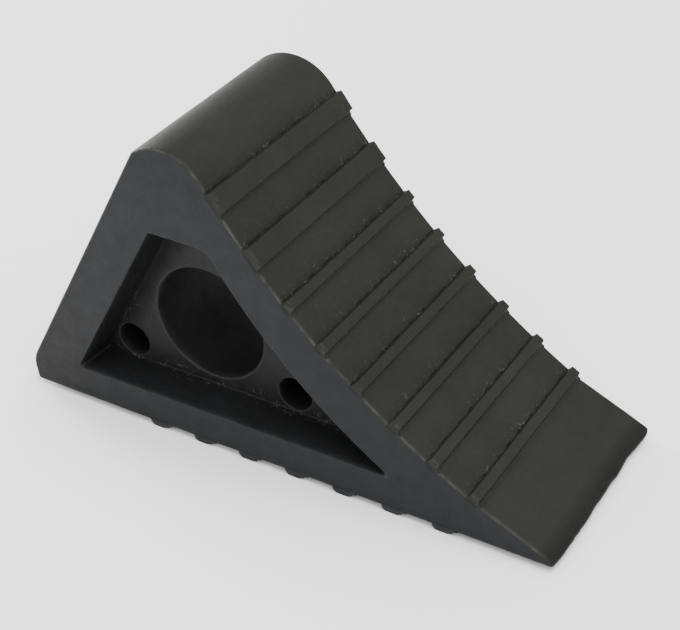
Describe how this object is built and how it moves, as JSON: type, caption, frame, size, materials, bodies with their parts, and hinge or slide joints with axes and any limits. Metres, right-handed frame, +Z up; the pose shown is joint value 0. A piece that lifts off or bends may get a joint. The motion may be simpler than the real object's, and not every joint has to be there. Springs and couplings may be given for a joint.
{
  "type": "wheel chock",
  "caption": "Moulded rubber wheel chock: a wedge with a concave barred tyre face, barred base, a recess in each side and holes through its web.",
  "frame": {"origin": "on the ground, at the centre of the chock's length and width", "axes": "+X towards the toe, +Y across the chock, +Z up; the base bars stand on z = 0"},
  "size_m": [0.22, 0.08, 0.1215],
  "materials": {
    "body_rubber": "satin moulded rubber",
    "web_rubber": "satin moulded rubber, dusty at the edges",
    "bar_rubber": "matt rubber with faint tool marks",
    "base_rubber": "matt moulded rubber"
  },
  "bodies": {
    "root": {"heel_wall": "body_rubber", "base_wall": "body_rubber", "tyre_wall": "body_rubber", "crest": "body_rubber", "toe": "body_rubber", "centre_web": "web_rubber", "tyre_bar_1": "bar_rubber", "tyre_bar_2": "bar_rubber", "tyre_bar_3": "bar_rubber", "tyre_bar_4": "bar_rubber", "tyre_bar_5": "bar_rubber", "tyre_bar_6": "bar_rubber", "tyre_bar_7": "bar_rubber", "tyre_bar_8": "bar_rubber", "base_bar_1": "base_rubber", "base_bar_2": "base_rubber", "base_bar_3": "base_rubber", "base_bar_4": "base_rubber", "base_bar_5": "base_rubber", "base_bar_6": "base_rubber", "base_bar_7": "base_rubber"}
  },
  "joints": []
}
